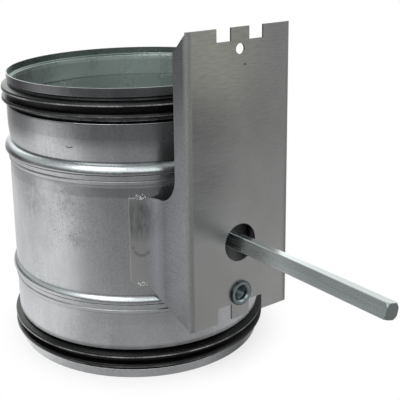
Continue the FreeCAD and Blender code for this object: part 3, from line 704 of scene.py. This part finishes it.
# The insert's thread, M8: its crest and root, its pitch, half the widths of crest and root, and how far
# it stays behind the insert's front and short of its back.
THREAD_CREST_R, THREAD_ROOT_R, THREAD_PITCH = 3.45 * MM, 4.02 * MM, 1.25 * MM
CREST_HALF, ROOT_HALF = 0.06 * MM, 0.48 * THREAD_PITCH
THREAD_FRONT_GAP, THREAD_BACK_GAP = 1.3 * MM, 0.8 * MM
THREAD_STEPS = 40
INSERT_Z = SHAFT_Z - 30 * MM


def make_thread(metal):
    """The helical ridge inside the insert's bore."""
    low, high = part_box("bracket_insert")
    start, end = low.y + THREAD_FRONT_GAP, high.y - THREAD_BACK_GAP
    count = int((end - start - THREAD_PITCH) / THREAD_PITCH * THREAD_STEPS)
    ridge = (
        (THREAD_ROOT_R, -ROOT_HALF), (THREAD_CREST_R, -CREST_HALF), (THREAD_CREST_R, CREST_HALF),
        (THREAD_ROOT_R, ROOT_HALF),
    )
    verts, faces = [], []
    for i in range(count + 1):
        turn = math.tau * i / THREAD_STEPS
        y = start + ROOT_HALF + THREAD_PITCH * i / THREAD_STEPS
        for radius, shift in ridge:
            verts.append((radius * math.cos(turn), y + shift, INSERT_Z + radius * math.sin(turn)))
    for i in range(count):
        a = 4 * i
        for k in range(4):
            n = (k + 1) % 4
            faces.append((a + k, a + n, a + 4 + n, a + 4 + k))
    faces += [(0, 1, 2, 3), tuple(4 * count + k for k in (3, 2, 1, 0))]
    plain_object("insert_thread", verts, faces, metal, "housing")


# The seam's height over the sheet and its depth in it, how far its edges dip, the length of one ripple,
# and how far its ends stay from the rims.
SEAM_HIGH, SEAM_DEEP, SEAM_DIP, SEAM_RIPPLE, SEAM_END = 0.1 * MM, 0.2 * MM, 0.05 * MM, 1.1 * MM, 0.8 * MM
SEAM_STEP = 0.3 * MM
# Places across the seam, as shares of its half width.
SEAM_ACROSS = (-1.0, -0.55, 0.0, 0.55, 1.0)
# Rays that find the tube's wall start this far from its axis.
OUTSIDE_R = 120 * MM


def make_seam(metal):
    """The tube's lengthwise weld: a low rippled bead that follows the rolled wall from rim to rim."""
    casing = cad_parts["casing"]
    wall = BVHTree.FromPolygons(
        [casing.matrix_world @ v.co for v in casing.data.vertices],
        [p.vertices[:] for p in casing.data.polygons],
    )
    out = Vector((math.sin(SEAM_TURN), -math.cos(SEAM_TURN), 0))
    aside = Vector((-out.y, out.x, 0))
    verts, faces = [], []
    count = int((LENGTH - 2 * SEAM_END) / SEAM_STEP)
    for i in range(count + 1):
        z = SEAM_END + i * SEAM_STEP
        hit = wall.ray_cast(out * OUTSIDE_R + Vector((0, 0, z)), -out)[0]
        radius = Vector((hit.x, hit.y)).length
        for across in SEAM_ACROSS:
            # the ripples are bowed, as the weld pool leaves them
            ripple = 0.75 + 0.25 * math.sin(math.tau * (z / SEAM_RIPPLE + 0.3 * abs(across)))
            lift = SEAM_HIGH * ripple * (1 - across * across) - SEAM_DIP * abs(across)
            verts.append(out * (radius + lift) + aside * across * SEAM_HALF + Vector((0, 0, z)))
        verts.append(out * (radius - SEAM_DEEP) + Vector((0, 0, z)))
    for i in range(count):
        a = 6 * i
        for k in range(6):
            n = (k + 1) % 6
            faces.append((a + k, a + n, a + 6 + n, a + 6 + k))
    faces += [tuple(range(6)), tuple(6 * count + k for k in range(5, -1, -1))]
    plain_object("tube_seam", verts, faces, metal, "housing")


make_spatter(weld_metal())
make_thread(cut_thread())
make_seam(seam_metal())


# The studio, by direction round the part in degrees and brightness there: the table close by, the table
# further off, its end and the room, and the soft boxes above, of which the large one stands in front.
NEAR_ROUND = (
    (-180, 1.0), (-150, 1.0), (-128, 1.12), (-105, 1.36), (-86, 1.2), (-76, 0.8), (-67, 0.56), (-48, 0.43),
    (-14, 0.36), (10, 0.42), (26, 0.6), (45, 0.62), (90, 0.8), (180, 1.0),
)
MIDDLE_ROUND = (
    (-180, 0.6), (-150, 0.42), (-136, 0.42), (-124, 0.9), (-110, 1.75), (-98, 1.35), (-86, 0.5),
    (-74, 0.16), (-58, 0.1), (-36, 0.08), (0, 0.08), (35, 0.36), (90, 0.5), (180, 0.6),
)
FAR_ROUND = (
    (-180, 0.5), (-160, 0.1), (-145, 0.08), (-122, 0.36), (-108, 0.14), (-80, 0.07), (-40, 0.07),
    (0, 0.07), (35, 0.36), (90, 0.4), (125, 1.45), (165, 1.45), (180, 0.5),
)
SKY_ROUND = (
    (-180, 1.4), (-150, 0.9), (-120, 0.9), (-100, 1.25), (-84, 1.75), (-65, 2.2), (-10, 2.2),
    (15, 1.2), (60, 1.1), (110, 1.6), (150, 1.5), (180, 1.4),
)
# What hangs overhead, and the light for all that isn't a mirror image.
OVERHEAD, EVEN_LIGHT = 0.7, 0.85
# Where the soft boxes' lower edges start and end, and where they pass into the ceiling, as the upward
# part of a direction.
LOW_SKY, HIGH_SKY, CEILING_FROM, CEILING_TO = 0.12, 0.27, 0.55, 0.93
# The directions' ramps hold shares of this brightness.
BRIGHTEST = 2.5


def mirror_rays(tree, rays):
    """1 for a ray on its way from a mirror image or through a clear material, 0 for any other."""
    sent = put(
        tree, "ShaderNodeMath",
        {0: rays.outputs["Is Glossy Ray"], 1: rays.outputs["Is Transmission Ray"]}, operation="MAXIMUM",
    )
    return sent.outputs[0]


def round_about(tree, direction, stops):
    """Brightness by direction round the part, from a list of turns in degrees and brightness at each."""
    turn = turn_about(tree, direction)[1]
    along = put(tree, "ShaderNodeMapRange", {"Value": turn, "From Min": -math.pi, "From Max": math.pi})
    ramp = put(tree, "ShaderNodeValToRGB", {"Fac": along.outputs[0]})
    elements = ramp.color_ramp.elements
    for angle, bright in stops[1:-1]:
        elements.new((angle + 180) / 360).color = (*[bright / BRIGHTEST] * 3, 1)
    for element, (_, bright) in ((elements[0], stops[0]), (elements[-1], stops[-1])):
        element.color = (*[bright / BRIGHTEST] * 3, 1)
    return combined(tree, "MULTIPLY", [ramp.outputs["Color"], BRIGHTEST])


def make_world():
    """White behind the part for the camera, the studio in reflections, and even light for the rest."""
    world = bpy.data.worlds.new("studio")
    bpy.context.scene.world = world
    world.use_nodes = True
    tree = world.node_tree
    tree.nodes.clear()
    direction = put(tree, "ShaderNodeTexCoord").outputs["Generated"]
    height = put(tree, "ShaderNodeSeparateXYZ", {0: direction}).outputs["Z"]
    lift = put(
        tree, "ShaderNodeMapRange", {"Value": height, "From Min": LOW_SKY, "From Max": HIGH_SKY},
        interpolation_type="SMOOTHSTEP",
    )
    top = put(
        tree, "ShaderNodeMapRange", {"Value": height, "From Min": CEILING_FROM, "From Max": CEILING_TO},
    )
    sky = put(
        tree, "ShaderNodeMix",
        {0: top.outputs[0], 2: round_about(tree, direction, SKY_ROUND), 3: OVERHEAD},
    )
    seen = put(
        tree, "ShaderNodeMix",
        {0: lift.outputs[0], 2: round_about(tree, direction, FAR_ROUND), 3: sky.outputs[0]},
    )
    tint = put(
        tree, "ShaderNodeMix", {0: lift.outputs[0], 6: linear("#ffffff"), 7: linear("#f2fbf9")},
        data_type="RGBA",
    )
    rays = put(tree, "ShaderNodeLightPath")
    even = put(tree, "ShaderNodeBackground", {"Color": linear("#ffffff"), "Strength": EVEN_LIGHT})
    gloss = put(tree, "ShaderNodeBackground", {"Color": tint.outputs[2], "Strength": seen.outputs[0]})
    white = put(tree, "ShaderNodeBackground", {"Color": linear("#ffffff"), "Strength": 1.0})
    unseen = put(
        tree, "ShaderNodeMixShader",
        {0: mirror_rays(tree, rays), 1: even.outputs[0], 2: gloss.outputs[0]},
    )
    shown = put(
        tree, "ShaderNodeMixShader",
        {0: rays.outputs["Is Camera Ray"], 1: unseen.outputs[0], 2: white.outputs[0]},
    )
    put(tree, "ShaderNodeOutputWorld", {"Surface": shown.outputs[0]})


FLOOR_SIZE = 6.0
# Distances from the duct's axis in metres: where the shadow fades, how much white it starts with, where
# the table's three zones pass into each other, and the light that the part throws back on the table.
SHADOW_NEAR, SHADOW_FAR, SHADOW_WHITE = 0.078, 0.104, 0.68
TABLE_NEAR, TABLE_MIDDLE, TABLE_FAR = 0.34, 0.57, 0.78
BOUNCE_NEAR, BOUNCE_FAR, BOUNCE = 0.11, 0.2, 1.45
BOUNCE_ROUND = ((-180, 1), (-90, 1), (-60, BOUNCE), (0, BOUNCE), (60, 1), (180, 1))


def make_floor():
    """A pale table top that keeps the shadow beside the part and turns into white ground further out; in
    mirror images it glows with a painted brightness by direction and distance.
    """
    material, tree, place = begin("pale_floor")
    away = put(tree, "ShaderNodeVectorMath", {0: place}, operation="LENGTH").outputs["Value"]
    ground = put(
        tree, "ShaderNodeMapRange",
        {"Value": away, "From Min": SHADOW_NEAR, "From Max": SHADOW_FAR, "To Min": SHADOW_WHITE},
        interpolation_type="SMOOTHSTEP",
    ).outputs[0]
    # in front of the part, the table right beside it gets light back from the part
    beside = put(
        tree, "ShaderNodeMapRange", {"Value": away, "From Min": BOUNCE_NEAR, "From Max": BOUNCE_FAR},
    )
    bounce = put(
        tree, "ShaderNodeMix",
        {0: beside.outputs[0], 2: round_about(tree, place, BOUNCE_ROUND), 3: 1.0},
    )
    table = combined(tree, "MULTIPLY", [round_about(tree, place, NEAR_ROUND), bounce.outputs[0]])
    for start, end, stops in (
        (TABLE_NEAR, TABLE_MIDDLE, MIDDLE_ROUND), (TABLE_MIDDLE, TABLE_FAR, FAR_ROUND),
    ):
        further = put(
            tree, "ShaderNodeMapRange", {"Value": away, "From Min": start, "From Max": end},
            interpolation_type="SMOOTHSTEP",
        )
        zone = round_about(tree, place, stops)
        table = put(tree, "ShaderNodeMix", {0: further.outputs[0], 2: table, 3: zone}).outputs[0]
    rays = put(tree, "ShaderNodeLightPath")
    board = put(tree, "ShaderNodeBsdfDiffuse", {"Color": linear("#fafafa")})
    white = put(tree, "ShaderNodeEmission", {"Color": linear("#ffffff"), "Strength": 1.0})
    mirrored = put(tree, "ShaderNodeEmission", {"Color": linear("#ffffff"), "Strength": table})
    shown = put(tree, "ShaderNodeMixShader", {0: ground, 1: board.outputs[0], 2: white.outputs[0]})
    mixed = put(
        tree, "ShaderNodeMixShader",
        {0: mirror_rays(tree, rays), 1: shown.outputs[0], 2: mirrored.outputs[0]},
    )
    put(tree, "ShaderNodeOutputMaterial", {"Surface": mixed.outputs[0]})
    half = FLOOR_SIZE / 2
    mesh = bpy.data.meshes.new("floor")
    corners = [(-half, -half, 0), (half, -half, 0), (half, half, 0), (-half, half, 0)]
    mesh.from_pydata(corners, [], [(0, 1, 2, 3)])
    mesh.materials.append(material)
    floor = bpy.data.objects.new("floor", mesh)
    bpy.context.collection.objects.link(floor)
    # a little under the lower rim, so that the two never share a plane
    floor.location.z = -0.2 * MM


# The soft boxes: name, place, side and power in watts.
LAMPS = (
    ("key", (-0.9, -0.35, 1.1), 0.8, 7.0), ("fill", (0.8, -0.8, 0.9), 0.9, 2.5),
    ("back", (0.1, 1.0, 0.9), 0.9, 2.5),
)
LAMP_AIM = (0, -0.03, SHAFT_Z)


def soft_lamp(name, place, aim, size, power):
    """One square soft box, set at a place and turned to a point."""
    lamp = bpy.data.lights.new(name, "AREA")
    lamp.shape, lamp.size, lamp.energy = "SQUARE", size, power
    lit = bpy.data.objects.new(name, lamp)
    lit.location = place
    lit.rotation_euler = (Vector(aim) - Vector(place)).to_track_quat("-Z", "Y").to_euler()
    bpy.context.collection.objects.link(lit)


def make_lamps():
    """Sets up the soft boxes and turns each to the middle of the part."""
    for name, place, size, power in LAMPS:
        soft_lamp(name, place, LAMP_AIM, size, power)


def make_camera():
    """Stands at the photograph's viewing angle, with the small shift that its framing needs."""
    back = Vector((
        math.sin(CAMERA_TURN) * math.cos(CAMERA_RISE),
        -math.cos(CAMERA_TURN) * math.cos(CAMERA_RISE),
        math.sin(CAMERA_RISE),
    ))
    right = (-back).cross(Vector((0, 0, 1))).normalized()
    up = right.cross(-back)
    tilted = math.cos(CAMERA_ROLL) * right + math.sin(CAMERA_ROLL) * up
    upright = -math.sin(CAMERA_ROLL) * right + math.cos(CAMERA_ROLL) * up
    lens = bpy.data.cameras.new("camera")
    lens.sensor_width = SENSOR
    lens.lens = FOCAL_PIXELS / PICTURE * SENSOR
    lens.shift_x = 0.5 - CENTRE_X / PICTURE
    lens.shift_y = CENTRE_Y / PICTURE - 0.5
    lens.clip_start, lens.clip_end = 0.01, 20
    camera = bpy.data.objects.new("camera", lens)
    turn = Matrix((tilted, upright, back)).transposed().to_4x4()
    stand = right * AIM_ASIDE + Vector((0, 0, AIM_HEIGHT)) + back * CAMERA_DISTANCE
    camera.matrix_world = Matrix.Translation(stand) @ turn
    bpy.context.collection.objects.link(camera)
    bpy.context.scene.camera = camera


make_world()
make_floor()
make_lamps()
make_camera()
bpy.context.scene.view_settings.view_transform = "Standard"
